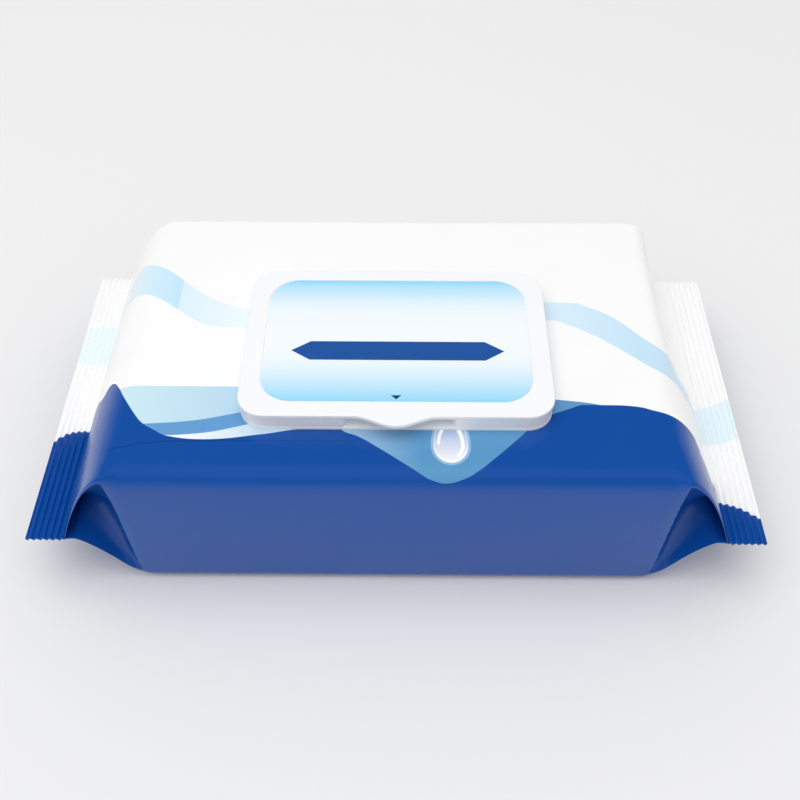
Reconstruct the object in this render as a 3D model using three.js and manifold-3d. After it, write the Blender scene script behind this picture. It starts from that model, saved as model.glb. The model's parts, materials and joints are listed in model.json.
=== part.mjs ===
// Wet wipes pack: a gusseted film pouch with crimped ends, and a moulded flip-top closure glued on it.
// Millimetres. +X runs along the pack, +Y to its rear, +Z up. The origin is the middle of the
// underside, where the pack rests.
import * as THREE from "three";
import { mergeVertices } from "three/addons/utils/BufferGeometryUtils.js";
import Module from "manifold-3d";

const wasm = await Module();
wasm.setup();

// Film pouch with its stack of wipes
const pouchDepth = 122.6;
const pouchHeight = 56;
const flatHalfLength = 84; // flat part of the top and the underside, from the middle outwards
const topSlopeRun = 22; // from there over the shoulder and down to the welded plies
const shoulderFullness = 2.35; // 1 is a straight slope, higher is a fuller shoulder
const baseSlopeRun = 20;
const baseSlopeEase = 0.5; // 0 is a straight slope, 1 a full S
const sealLevel = 25; // height of the end seals above the underside
const landWidth = 1.5; // plain welded film between the top slope and the crimp
const crimpWidth = 12.5;
const crimpRidges = 6;
const crimpHeight = 0.45; // from the middle of the seal to the crest of a ridge
const sealThickness = 1.2;
const sealSpread = 1; // the flattened ends stand out this far past the front and rear faces
const topEdgeRadius = 7;
const baseEdgeRadius = 4;
const faceBulge = 0.8; // the front and rear faces swell by this between their edges

// Tucked gussets at the four corners
const gussetStart = 2; // past the flat part, where the side film begins to fold inwards
const gussetPeak = 9; // past the flat part, where the fold is highest under the shoulder
const gussetPeakDrop = 3.6; // that point's distance below the top
const gussetWall = 0.8; // film left standing above and below the pocket
const gussetSlowShare = 0.45; // share of its depth that the fold gains evenly, the rest near the seal
const pocketEase = 0.3; // the pocket's cut starts this far inside the face, and ends so before the seal
const pocketSlit = 0.04; // height of the pocket where its walls meet

// Folded back seam, pressed flush into the underside
const seamWidth = 12;
const seamShiftY = 3;
const seamGroove = 0.45;

// Flip-top closure
const closureWidth = 100;
const closureDepth = 66.6;
const closureCorner = 8.6;
const closureShiftY = -7.9; // the closure sits this far in front of the pack's middle
const frameHeight = 5.2;
const frameInset = 0.3; // frame's wall inside the lid's edge
const frameWall = 1.4;
const flangeThickness = 1;
const lidGap = 0.3; // between the frame's rim and the lid
const lidThickness = 1.5;
const lidEdgeRound = 0.5;
const tabWidth = 27;
const tabReach = 3.8;
const scoopWidth = 33; // finger scoop in the front wall, under the tab
const scoopDepth = 3.6;
const scoopCheek = 2.4; // run of its slanted cheeks

// Dispensing opening, and the lip round it that the lid's ring fits over
const openingWidth = 62;
const openingDepth = 26;
const lipWall = 1.1;
const lipHeight = 4.3;
const ringClearance = 0.35;
const ringWall = 1;
const ringDrop = 2.6;

// Locating ribs inside the frame's side walls, and the latch behind the scoop
const ribLength = 34;
const ribWall = 1;
const ribDrop = 1.6;
const ribClearance = 0.5;
const latchWidth = 16;
const latchWall = 1.2;
const latchDrop = 2.8;
const latchClearance = 0.8;
const catchReach = 0.45;
const catchHeight = 0.9;
const catchPlay = 0.25; // between the latch's hook and the catch that it snaps under

// Living hinge at the rear
const hingeWidth = 30;
const hingeWeb = 0.4;
const hingeBend = 0.55; // inner radius of the folded web

// Labels
const labelSideMargin = 6.5; // lid left bare beside the label
const labelFrontMargin = 6.3;
const labelRearMargin = 4.9;
const labelCorner = 10;
const labelThickness = 0.25;
const labelRecess = 0.3;
const labelClearance = 0.25;
const peelSideMargin = 4; // film left bare between the peel-off label and the frame's opening
const peelFrontMargin = 3;
const peelThickness = 0.25;
const pullTabWidth = 9;
const pullTabGap = 0.8; // left between the pull tab and the opening's front edge

// Facets
const cornerSteps = 6;
const curveSteps = 16;
const slopeSteps = 14;
const foldSteps = 5;
const stepsPerRidge = 6;

// Worked out from the sizes above
const slopeEnd = flatHalfLength + topSlopeRun;
const crimpStart = slopeEnd + landWidth;
const packHalfLength = crimpStart + crimpWidth;
const foldStart = flatHalfLength + gussetStart;
const foldPeak = flatHalfLength + gussetPeak;
const foldTop = pouchHeight - gussetPeakDrop;
const gussetDepth = pouchHeight / 2;
const sealTop = sealLevel + sealThickness / 2;
const sealBottom = sealLevel - sealThickness / 2;
const filmTop = pouchHeight;
const floorTop = filmTop + flangeThickness;
const frameTop = filmTop + frameHeight;
const lidBottom = frameTop + lidGap;
const lidTop = lidBottom + lidThickness;
const labelBottom = lidTop - labelRecess;
const lidFront = -closureDepth / 2;
const frameFront = lidFront + frameInset;
const scoopBack = frameFront + scoopDepth;
const hingeY = closureDepth / 2 + hingeBend;
const labelWidth = closureWidth - 2 * labelSideMargin;
const labelDepth = closureDepth - labelFrontMargin - labelRearMargin;
const labelShiftY = (labelFrontMargin - labelRearMargin) / 2;
const peelWidth = openingWidth - 2 * peelSideMargin;
const peelDepth = openingDepth - 2 * peelFrontMargin;
const hingeZ = frameTop + lidGap / 2;

const { clamp, lerp, smoothstep } = THREE.MathUtils;
const white = { color: 0xf4f5f8, roughness: 0.38, metalness: 0 };
const printedFilm = { color: 0x1c5db0, roughness: 0.25, metalness: 0 };
const printedLabel = { color: 0xcdeaf8, roughness: 0.3, metalness: 0 };
const peelFilm = { color: 0xe3e8ee, roughness: 0.45, metalness: 0 };

// A closed geometry as a solid that can be joined and cut.
function solid(geometry) {
  const bare = geometry.clone();
  bare.deleteAttribute("normal");
  bare.deleteAttribute("uv");
  const merged = mergeVertices(bare, 1e-4);
  return new wasm.Manifold(
    new wasm.Mesh({
      numProp: 3,
      vertProperties: merged.attributes.position.array,
      triVerts: new Uint32Array(merged.index.array),
    }),
  );
}

function part(name, body, finish) {
  const mesh = body.getMesh();
  const geometry = new THREE.BufferGeometry();
  geometry.setAttribute("position", new THREE.BufferAttribute(mesh.vertProperties, 3));
  geometry.setIndex(new THREE.BufferAttribute(mesh.triVerts, 1));
  geometry.computeVertexNormals();
  const made = new THREE.Mesh(geometry, new THREE.MeshStandardMaterial(finish));
  made.name = name;
  return made;
}

// Skin over matching outlines in Y and Z, each at its own x in rising order, with a flat cap at each
// end. The outlines run counter-clockwise seen from +X.
function loftAlongX(sections) {
  const count = sections[0].outline.length;
  const positions = sections.flatMap(({ x, outline }) => outline.flatMap((p) => [x, p.x, p.y]));
  const last = (sections.length - 1) * count;
  const faces = [];
  for (let ring = 0; ring < last; ring += count)
    for (let i = 0; i < count; i++) {
      const a = ring + i;
      const b = ring + ((i + 1) % count);
      faces.push(a, b, b + count, a, b + count, a + count);
    }
  for (const [a, b, c] of THREE.ShapeUtils.triangulateShape(sections[0].outline, []))
    faces.push(a, c, b);
  for (const [a, b, c] of THREE.ShapeUtils.triangulateShape(sections.at(-1).outline, []))
    faces.push(last + a, last + b, last + c);
  const geometry = new THREE.BufferGeometry();
  geometry.setAttribute("position", new THREE.Float32BufferAttribute(positions, 3));
  geometry.setIndex(faces);
  return solid(geometry);
}

// An outline in X and Y carried up from one level to another, with its edges rounded if asked.
function plate(outline, bottom, top, round = 0) {
  const geometry = new THREE.ExtrudeGeometry(new THREE.Shape(outline), {
    depth: top - bottom - 2 * round,
    bevelEnabled: round > 0,
    bevelThickness: round,
    bevelSize: round,
    bevelOffset: -round,
    bevelSegments: 3,
  });
  return solid(geometry.translate(0, 0, bottom + round));
}

// A profile in Y and Z carried along X, centred on the middle.
function barAlongX(profile, length) {
  const shape = new THREE.Shape(profile.map(([y, z]) => new THREE.Vector2(y, z)));
  const geometry = new THREE.ExtrudeGeometry(shape, { depth: length, bevelEnabled: false });
  return solid(geometry.rotateX(Math.PI / 2).rotateZ(Math.PI / 2).translate(-length / 2, 0, 0));
}

// Quarter turns of arc round four corner centres, counter-clockwise from the upper right one.
function roundedCorners(corners, steps = cornerSteps) {
  return corners.flatMap(([x, y, radius], corner) =>
    Array.from({ length: steps + 1 }, (_, i) => {
      const turn = ((corner + i / steps) * Math.PI) / 2;
      return new THREE.Vector2(x + radius * Math.cos(turn), y + radius * Math.sin(turn));
    }),
  );
}

function roundedRectangle(width, depth, radius, steps = cornerSteps) {
  const x = width / 2 - radius;
  const y = depth / 2 - radius;
  return roundedCorners([[x, y, radius], [-x, y, radius], [-x, -y, radius], [x, -y, radius]], steps);
}

// Height of the top ply at x: flat over the stack, a full shoulder, then down to the end seal.
function topPly(x) {
  const out = clamp((Math.abs(x) - flatHalfLength) / topSlopeRun, 0, 1);
  return lerp(pouchHeight, sealTop, Math.pow(out, shoulderFullness));
}

// Height of the bottom ply at x: flat, then up to the end seal in a shallow S.
function bottomPly(x) {
  const out = clamp((Math.abs(x) - flatHalfLength) / baseSlopeRun, 0, 1);
  return sealBottom * lerp(out, smoothstep(out, 0, 1), baseSlopeEase);
}

// Half the depth at x. The film spreads a little where it is flattened into the end seals.
function halfDepthAt(x) {
  return pouchDepth / 2 + sealSpread * smoothstep(Math.abs(x), foldPeak, crimpStart);
}

// The film tube's outline at x. Its front and rear faces swell between the rounded edges.
function tubeSection(x) {
  const top = topPly(x);
  const bottom = bottomPly(x);
  const room = (top - bottom) / (topEdgeRadius + baseEdgeRadius);
  const upper = topEdgeRadius * Math.min(1, room * 0.45);
  const lower = baseEdgeRadius * Math.min(1, room * 0.45);
  const half = halfDepthAt(x);
  const outline = roundedCorners([
    [half - upper, top - upper, upper],
    [upper - half, top - upper, upper],
    [lower - half, bottom + lower, lower],
    [half - lower, bottom + lower, lower],
  ]);
  const swell = faceBulge * Math.min(1, room * 0.45);
  const front = new THREE.Vector2(-half - swell, lerp(bottom, top, 0.45));
  const rear = new THREE.Vector2(half + swell, front.y);
  const perCorner = cornerSteps + 1;
  return [...outline.slice(0, 2 * perCorner), front, ...outline.slice(2 * perCorner), rear];
}

// Places along half the pack where the tube gets a section, close together round the shoulder.
function tubeStations() {
  const half = [0];
  for (let i = 0; i <= slopeSteps; i++) half.push(flatHalfLength + (topSlopeRun * i) / slopeSteps);
  half.push(crimpStart);
  return [...half.slice(1).reverse().map((x) => -x), ...half];
}

// The crimped band at one end: welded plies pressed into ridges that run from front to rear.
function crimpedSeal(side) {
  const steps = crimpRidges * stepsPerRidge;
  const lap = landWidth / 2;
  const profile = { upper: [], lower: [] };
  for (let i = 0; i <= steps; i++) {
    const x = i === 0 ? crimpStart - lap : crimpStart + (crimpWidth * i) / steps;
    const level = sealLevel + crimpHeight * Math.sin((i / stepsPerRidge) * 2 * Math.PI);
    profile.upper.push(new THREE.Vector2(side * x, level + sealThickness / 2));
    profile.lower.push(new THREE.Vector2(side * x, level - sealThickness / 2));
  }
  const outline = new THREE.Shape([...profile.lower, ...profile.upper.reverse()]);
  const depth = 2 * halfDepthAt(packHalfLength);
  const geometry = new THREE.ExtrudeGeometry(outline, { depth, bevelEnabled: false });
  return solid(geometry.rotateX(Math.PI / 2).translate(0, depth / 2, 0));
}

// Roof of a gusset's pocket at x: it rises steeply from the corner to its peak, then follows the
// top ply down to the seal.
function pocketRoof(x) {
  const rise = clamp((x - foldStart) / (foldPeak - foldStart), 0, 1);
  const arch = foldTop * (1 - Math.pow(1 - rise, 3));
  const peakDrop = gussetPeakDrop * (1 - smoothstep(x, foldPeak, slopeEnd));
  return Math.min(arch, topPly(x) - gussetWall - peakDrop);
}

// How far in a gusset's fold lies, as a share of its depth in the seal. The side film first leans on
// the stack's end, and is drawn in quickly where the plies close on it.
const foldShare = (along) => lerp(Math.pow(along, 6), along, gussetSlowShare);

// The pocket that a tucked gusset leaves at one corner of the pack. It opens to the front or the
// rear and runs inwards to a fold, which ends in the seal.
function gussetPocket(side, facing) {
  const mouth = pouchDepth / 2 - pocketEase;
  const outside = halfDepthAt(slopeEnd) + faceBulge + pocketEase;
  const sections = [];
  for (let i = 0; i <= curveSteps; i++) {
    const along = smoothstep(i / curveSteps, 0, 1);
    const x = lerp(foldStart, slopeEnd - pocketEase, along);
    const floor = bottomPly(x) + gussetWall;
    const gap = Math.max(pocketRoof(x) - floor, pocketSlit);
    const depth = gussetDepth * foldShare(along) + pocketEase;
    const outline = pocketProfile(outside, mouth, depth, floor, gap);
    if (facing < 0) outline.forEach((p) => (p.x = -p.x));
    sections.push({ x: side * x, outline: facing > 0 ? outline : outline.reverse() });
  }
  return loftAlongX(side > 0 ? sections : sections.reverse());
}

// A pocket's outline in Y and Z: straight in past the mouth, then closing evenly on the fold.
function pocketProfile(outside, mouth, depth, floor, gap) {
  const middle = floor + gap / 2;
  const upper = [new THREE.Vector2(outside, floor + gap)];
  const lower = [new THREE.Vector2(outside, floor)];
  for (let i = 0; i < foldSteps; i++) {
    const inwards = Math.sin(((i / foldSteps) * Math.PI) / 2);
    const half = (gap / 2) * (1 - inwards);
    upper.push(new THREE.Vector2(mouth - depth * inwards, middle + half));
    lower.push(new THREE.Vector2(mouth - depth * inwards, middle - half));
  }
  return [...upper, new THREE.Vector2(mouth - depth, middle), ...lower.reverse()];
}

// Shallow groove along the free edge of the folded back seam, from one end seal to the other.
function seamEdge() {
  const y = seamShiftY + seamWidth / 2;
  const below = 1;
  const sections = tubeStations().map((x) => ({
    x,
    outline: [
      new THREE.Vector2(y - seamGroove, bottomPly(x) - below),
      new THREE.Vector2(y + seamGroove, bottomPly(x) - below),
      new THREE.Vector2(y + seamGroove, bottomPly(x)),
      new THREE.Vector2(y, bottomPly(x) + seamGroove),
      new THREE.Vector2(y - seamGroove, bottomPly(x)),
    ],
  }));
  return loftAlongX(sections);
}

function pouch() {
  let body = loftAlongX(tubeStations().map((x) => ({ x, outline: tubeSection(x) })));
  for (const side of [-1, 1]) {
    for (const facing of [-1, 1]) body = body.subtract(gussetPocket(side, facing));
    body = body.add(crimpedSeal(side));
  }
  return part("pouch", body.subtract(seamEdge()), printedFilm);
}

// Outline of the closure at an inset from the lid's edge. front(x) is how far its front edge stands
// back, and span is the half width over which it does.
function closureOutline(inset, front = () => 0, span = 0) {
  const outline = roundedRectangle(
    closureWidth - 2 * inset,
    closureDepth - 2 * inset,
    closureCorner - inset,
  );
  if (span === 0) return outline;
  const edge = [];
  for (let i = 0; i <= 2 * curveSteps; i++) {
    const x = lerp(-span, span, i / (2 * curveSteps));
    edge.push(new THREE.Vector2(x, lidFront + inset + front(x)));
  }
  const beforeFront = 3 * (cornerSteps + 1);
  return [...outline.slice(0, beforeFront), ...edge, ...outline.slice(beforeFront)];
}

// The thumb tab is a smooth bell that stands out of the lid's front edge.
const tabOutline = () =>
  closureOutline(0, (x) => -tabReach * Math.cos((x / tabWidth) * Math.PI) ** 2, tabWidth / 2);

// The frame's wall steps back round the finger scoop, between slanted cheeks.
function scoopOutline(inset) {
  const half = scoopWidth / 2 + inset - frameInset;
  const depth = (x) => scoopDepth * (1 - smoothstep(Math.abs(x), half - scoopCheek, half));
  return closureOutline(inset, depth, half);
}

const slot = (width, depth) => roundedRectangle(width, depth, depth / 2, 2 * cornerSteps);

function closureFrame() {
  const inner = frameInset + frameWall;
  const lip = slot(openingWidth + 2 * lipWall, openingDepth + 2 * lipWall);
  const flange = plate(closureOutline(frameInset), filmTop, floorTop);
  const wall = plate(scoopOutline(frameInset), filmTop, frameTop);
  const tray = wall.subtract(plate(scoopOutline(inner), floorTop, frameTop + 1));
  const opening = plate(slot(openingWidth, openingDepth), filmTop - 1, frameTop + 1);
  const catchBottom = frameTop - catchHeight;
  const catchInside = scoopBack + frameWall;
  const snapCatch = barAlongX(
    [
      [catchInside - 0.2, catchBottom],
      [catchInside + catchReach, catchBottom],
      [catchInside + catchReach, catchBottom + catchHeight / 2],
      [catchInside - 0.2, frameTop],
    ],
    latchWidth,
  );
  const body = tray.add(flange).add(plate(lip, filmTop, filmTop + lipHeight)).add(snapCatch);
  return part("closure_frame", body.subtract(opening), white);
}

function closureLid() {
  const recess = roundedRectangle(
    labelWidth + 2 * labelClearance,
    labelDepth + 2 * labelClearance,
    labelCorner + labelClearance,
  ).map((p) => new THREE.Vector2(p.x, p.y + labelShiftY));
  const ringInside = 2 * (lipWall + ringClearance);
  const ringOutside = ringInside + 2 * ringWall;
  const ring = plate(
    slot(openingWidth + ringOutside, openingDepth + ringOutside),
    lidBottom - ringDrop,
    lidBottom + 0.2,
  ).subtract(
    plate(
      slot(openingWidth + ringInside, openingDepth + ringInside),
      lidBottom - ringDrop - 1,
      lidBottom,
    ),
  );
  let body = plate(tabOutline(), lidBottom, lidTop, lidEdgeRound)
    .subtract(plate(recess, labelBottom, lidTop + 1))
    .add(ring);
  const ribX = closureWidth / 2 - frameInset - frameWall - ribClearance;
  for (const side of [-1, 1]) {
    const rib = new THREE.BoxGeometry(ribWall, ribLength, ribDrop + 0.2);
    const level = lidBottom + 0.2 - (ribDrop + 0.2) / 2;
    body = body.add(solid(rib.translate(side * (ribX - ribWall / 2), 0, level)));
  }
  return part("closure_lid", body.add(latch()), white);
}

// The latch hangs from the lid behind the scoop's wall, and its hook snaps under the catch.
function latch() {
  const face = scoopBack + frameWall + latchClearance;
  const hookTop = frameTop - catchHeight - catchPlay;
  const bottom = lidBottom - latchDrop;
  return barAlongX(
    [
      [face, bottom],
      [face + latchWall, bottom],
      [face + latchWall, lidBottom + 0.2],
      [face, lidBottom + 0.2],
      [face, hookTop],
      [face - catchReach, hookTop - 0.1],
      [face - catchReach, hookTop - 0.6],
    ],
    latchWidth - 2,
  );
}

// The living hinge's web, folded round in a half ring while the lid is shut.
function livingHinge() {
  const arc = (radius, from, to) =>
    Array.from({ length: curveSteps + 1 }, (_, i) => {
      const turn = lerp(from, to, i / curveSteps);
      return [hingeY + radius * Math.cos(turn), hingeZ + radius * Math.sin(turn)];
    });
  const quarter = Math.PI / 2;
  const outer = hingeBend + hingeWeb;
  const profile = [
    [hingeY - hingeBend - frameInset, hingeZ - outer],
    ...arc(outer, -quarter, quarter),
    [hingeY - hingeBend, hingeZ + outer],
    [hingeY - hingeBend, hingeZ + hingeBend],
    ...arc(hingeBend, quarter, -quarter),
    [hingeY - hingeBend - frameInset, hingeZ - hingeBend],
  ];
  return part("living_hinge", barAlongX(profile, hingeWidth), white);
}

// The closure's pieces share its middle as their origin.
function closure() {
  const group = new THREE.Group();
  group.position.y = closureShiftY;
  const label = roundedRectangle(labelWidth, labelDepth, labelCorner).map(
    (p) => new THREE.Vector2(p.x, p.y + labelShiftY),
  );
  const lidLabel = part("lid_label", plate(label, labelBottom, labelBottom + labelThickness), printedLabel);
  group.add(closureFrame(), closureLid(), livingHinge(), lidLabel, sealLabel());
  return group;
}

// The peel-off label lies on the film inside the frame's opening, with its pull tab at the front.
function sealLabel() {
  const reach = peelFrontMargin - pullTabGap;
  const tab = roundedRectangle(pullTabWidth, 2 * reach, reach).map(
    (p) => new THREE.Vector2(p.x, p.y - peelDepth / 2),
  );
  const body = plate(slot(peelWidth, peelDepth), filmTop, filmTop + peelThickness).add(
    plate(tab, filmTop, filmTop + peelThickness),
  );
  return part("seal_label", body, peelFilm);
}

const pack = new THREE.Group();
pack.add(pouch(), closure());

export default pack;
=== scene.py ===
"""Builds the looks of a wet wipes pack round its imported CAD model.

Everything is in metres, in the model's own frame: +X along the pack, +Y to its rear, +Z up.
"""

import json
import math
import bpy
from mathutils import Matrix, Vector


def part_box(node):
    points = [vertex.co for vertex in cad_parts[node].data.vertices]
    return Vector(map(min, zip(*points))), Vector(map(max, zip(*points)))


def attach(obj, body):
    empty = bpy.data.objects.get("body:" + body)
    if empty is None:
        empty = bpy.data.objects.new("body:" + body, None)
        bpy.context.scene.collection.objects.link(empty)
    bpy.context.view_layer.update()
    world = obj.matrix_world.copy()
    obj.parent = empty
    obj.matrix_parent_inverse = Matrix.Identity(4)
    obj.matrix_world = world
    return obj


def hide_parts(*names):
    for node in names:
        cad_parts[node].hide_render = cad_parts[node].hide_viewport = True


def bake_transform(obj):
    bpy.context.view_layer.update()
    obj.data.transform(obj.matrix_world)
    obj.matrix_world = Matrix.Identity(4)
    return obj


bl_info = {
    "name": "Wet wipes pack",
    "version": (1, 0, 0),
    "blender": (4, 5, 0),
    "location": "View3D > Sidebar > Wipes pack",
    "description": "Builds a wet wipes pack: printed film pouch, flip-top closure, labels and stage",
    "category": "Add Mesh",
}

import bpy
import numpy as np
from bpy.props import FloatProperty, FloatVectorProperty, IntProperty, PointerProperty
from mathutils import Vector

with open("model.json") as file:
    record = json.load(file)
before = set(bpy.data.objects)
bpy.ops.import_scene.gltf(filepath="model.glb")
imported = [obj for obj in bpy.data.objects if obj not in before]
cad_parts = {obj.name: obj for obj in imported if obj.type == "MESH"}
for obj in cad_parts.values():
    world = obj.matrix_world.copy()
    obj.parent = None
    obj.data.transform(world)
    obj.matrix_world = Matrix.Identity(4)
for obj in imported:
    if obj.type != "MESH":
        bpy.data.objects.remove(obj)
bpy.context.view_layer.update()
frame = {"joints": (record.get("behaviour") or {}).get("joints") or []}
MM = 0.001

# Where the CAD pieces lie
PACK_HALF_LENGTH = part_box("pouch")[1].x
PACK_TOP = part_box("pouch")[1].z
FRAME_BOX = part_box("closure_frame")
LID_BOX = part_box("closure_lid")
LID_LABEL_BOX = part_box("lid_label")
SEAL_LABEL_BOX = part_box("seal_label")
HINGE_AXIS = Vector(frame["joints"][0]["pos_m"])
CLOSURE_Y = (FRAME_BOX[0].y + FRAME_BOX[1].y) / 2
FILM_TOP = FRAME_BOX[0].z
FRAME_TOP = FRAME_BOX[1].z
LID_TOP = LID_BOX[1].z

# Small distances used in several places
HOLD = 0.06 * MM  # from a bend to the points that keep its soft shading
GAP = 0.01 * MM  # between a piece and the film or plate that it lies on
ROOT = 0.2 * MM  # how far ribs and bars reach into the wall or plate that carries them
BLUNT = 0.3 * MM  # slanted corners of ribs and of the lid's ring

# How finely outlines of the closure are drawn, in steps
CORNER_STEPS = 14
FRONT_STEPS = 160
WEB_STEPS = 28

# How finely the film is drawn, in steps along the pack and then round its girth
FLAT_STEPS, FOLD_STEPS, SLOPE_STEPS, RIDGE_STEPS = 45, 44, 26, 12
ACROSS_STEPS, EDGE_STEPS, FACE_STEPS, BASE_STEPS, UNDER_STEPS = 36, 12, 32, 7, 14


def length(value, name, description):
    """A length, with its default in millimetres."""
    return FloatProperty(name=name, description=description, default=value * MM, unit="LENGTH", precision=5)


def number(value, name, description, **settings):
    """A plain number, or one with a unit or limits of its own."""
    return FloatProperty(name=name, description=description, default=value, **settings)


def share(value, name, description, high=1.0):
    """A number from 0 upwards."""
    return number(value, name, description, min=0.0, max=high)


def place(value, name, description):
    """A place in metres."""
    return FloatVectorProperty(name=name, description=description, default=value, subtype="TRANSLATION")


def colour(value, name, description):
    """A colour, with its default as seen on a screen, from 0 to 255."""
    seen = np.array(value) / 255
    light = np.where(seen <= 0.04045, seen / 12.92, ((seen + 0.055) / 1.055) ** 2.4).tolist()
    limits = {"min": 0.0, "max": 1.0}
    return FloatVectorProperty(name=name, description=description, default=light, subtype="COLOR", **limits)


class FilmSizes(bpy.types.PropertyGroup):
    """Sizes of the film pouch."""

    half_depth: length(61.3, "Half depth", "From the middle to the front or rear face")
    rear_lean: length(1.4, "Rear lean", "The rear top edge stands out by this much more")
    flat_half_length: length(84, "Flat half length", "Flat part of the top, from the middle outwards")
    shoulder_run: length(22, "Shoulder run", "From the flat part to the welded plies, at mid depth")
    edge_run: length(23.5, "Edge run", "The same run along the front and rear edges")
    left_reach: length(2.0, "Left reach", "The left shoulder runs this much further out")
    shoulder_fullness: number(2.35, "Shoulder fullness", "1 is a straight slope, higher is fuller")
    rear_fullness_left: number(1.95, "Rear left fullness", "At the rear edge")
    front_fullness: number(1.8, "Front fullness", "At the front edge")
    front_corner: length(88.5, "Front corner", "The front edge stays level this far from the middle")
    wall_start: number(5, "Wall start", "Higher keeps the rear right shoulder flat for longer")
    wall_steepness: number(16, "Wall steepness", "How fast the rear right shoulder then falls")
    base_run: length(20, "Base run", "From the flat underside up to the welded plies")
    seal_level: length(25, "Seal level", "Height of the end seals above the underside")
    seal_thickness: length(0.8, "Seal thickness", "Welded plies of film")
    seal_spread: length(1.0, "Seal spread", "The flattened ends stand out this far past the faces")
    crimp_width: length(12.5, "Crimp width", "Ridged band at each end")
    ridge_count: IntProperty(name="Ridges", description="Ridges in one crimped band", default=6)
    ridge_height: length(0.42, "Ridge height", "From the middle of the seal to a ridge's crest")
    top_radius: length(7, "Front edge radius", "Rounding along the front top edge")
    rear_radius: length(2.4, "Rear edge radius", "Rounding along the rear top edge")
    flap_radius: length(1.1, "Flap radius", "Rounding where the film folds under the flap")
    base_radius: length(4, "Base edge radius", "Rounding along the bottom edges")
    face_bulge: length(0.8, "Face bulge", "Swell of the front and rear faces")
    fold_start: length(86, "Fold start", "Where the side film begins to fold in, from the middle")
    fold_peak: length(91.5, "Fold peak", "Where the fold is highest under the shoulder")
    sharp_from: length(91, "Sharp from", "The long edges are creased sharply from here outwards")
    crease_level: length(27, "Crease level", "Height of the crease in the tucked gusset")
    gusset_depth: length(28, "Gusset depth", "How far in the tucked film lies in the seal")
    seam_width: length(12, "Seam width", "Folded back seam on the underside")
    seam_shift: length(3, "Seam shift", "From the pack's middle to the seam's middle")
    seam_thickness: length(0.3, "Seam thickness", "Folded back seam below the rest of the underside")
    rumple: length(0.22, "Rumple", "Height of the film's gentle waves")
    rumple_size: length(34, "Rumple size", "From one wave to the next")


class ClosureSizes(bpy.types.PropertyGroup):
    """Sizes of the flip-top closure."""

    lid_thickness: length(1.5, "Lid thickness", "Plate of the lid")
    lid_corner: length(8.6, "Lid corner", "Radius of the lid's corners")
    lid_round: length(0.35, "Lid edge", "Rounding along the lid's upper edge")
    tab_width: length(27, "Tab width", "Thumb tab in the lid's front edge")
    tab_reach: length(3.8, "Tab reach", "How far the tab stands out")
    label_corner: length(10, "Label corner", "Radius of the label's corners")
    label_clearance: length(0.25, "Label clearance", "Between the label and its recess")
    label_thickness: length(0.25, "Label thickness", "Printed label")
    frame_inset: length(0.3, "Frame inset", "Frame's wall inside the lid's edge")
    frame_wall: length(1.4, "Frame wall", "Wall of the frame")
    flange_thickness: length(1, "Flange thickness", "Frame's floor")
    rim_round: length(0.3, "Rim rounding", "Rounding of the frame's rim")
    floor_step: length(8, "Floor step", "Where the floor stops following the finger scoop, from the edge")
    scoop_width: length(35.4, "Scoop width", "Finger scoop in the frame's front wall")
    scoop_shift: length(1.1, "Scoop shift", "From the closure's middle to the scoop's middle")
    scoop_depth: length(3.6, "Scoop depth", "How far the wall steps back")
    scoop_cheek: length(2.4, "Scoop cheek", "Run of its slanted cheeks")
    opening_width: length(62, "Opening width", "Dispensing opening")
    opening_depth: length(26, "Opening depth", "Dispensing opening, front to rear")
    lip_wall: length(1.1, "Lip wall", "Lip round the opening")
    lip_height: length(4.3, "Lip height", "Above the film")
    ring_clearance: length(0.35, "Ring clearance", "Between the lip and the lid's ring")
    ring_wall: length(1, "Ring wall", "Ring under the lid")
    ring_drop: length(2.6, "Ring drop", "Below the lid's plate")
    rib_length: length(34, "Rib length", "Locating ribs under the lid")
    rib_wall: length(1, "Rib wall", "Thickness of a rib")
    rib_drop: length(1.6, "Rib drop", "Below the lid's plate")
    rib_clearance: length(0.5, "Rib clearance", "Between a rib and the frame's wall")
    latch_width: length(14, "Latch width", "Latch behind the scoop")
    latch_wall: length(1.2, "Latch wall", "Thickness of the latch")
    latch_drop: length(2.8, "Latch drop", "Below the lid's plate")
    latch_clearance: length(0.8, "Latch clearance", "Between the latch and the scoop's wall")
    catch_width: length(16, "Catch width", "Catch on the scoop's wall")
    catch_reach: length(0.45, "Catch reach", "How far the catch and the hook stand out")
    catch_height: length(0.9, "Catch height", "Height of the catch")
    hinge_width: length(30, "Hinge width", "Living hinge")
    hinge_web: length(0.4, "Hinge web", "Thickness of the web")
    hinge_bend: length(0.55, "Hinge bend", "Inner radius of the folded web")
    peel_side: length(4, "Peel label side margin", "Film left bare beside the peel label")
    peel_front: length(3, "Peel label front margin", "Film left bare before the peel label")
    pull_tab_width: length(9, "Pull tab width", "Tab of the peel label")
    pull_tab_gap: length(0.8, "Pull tab gap", "Between the pull tab and the opening")


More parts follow.
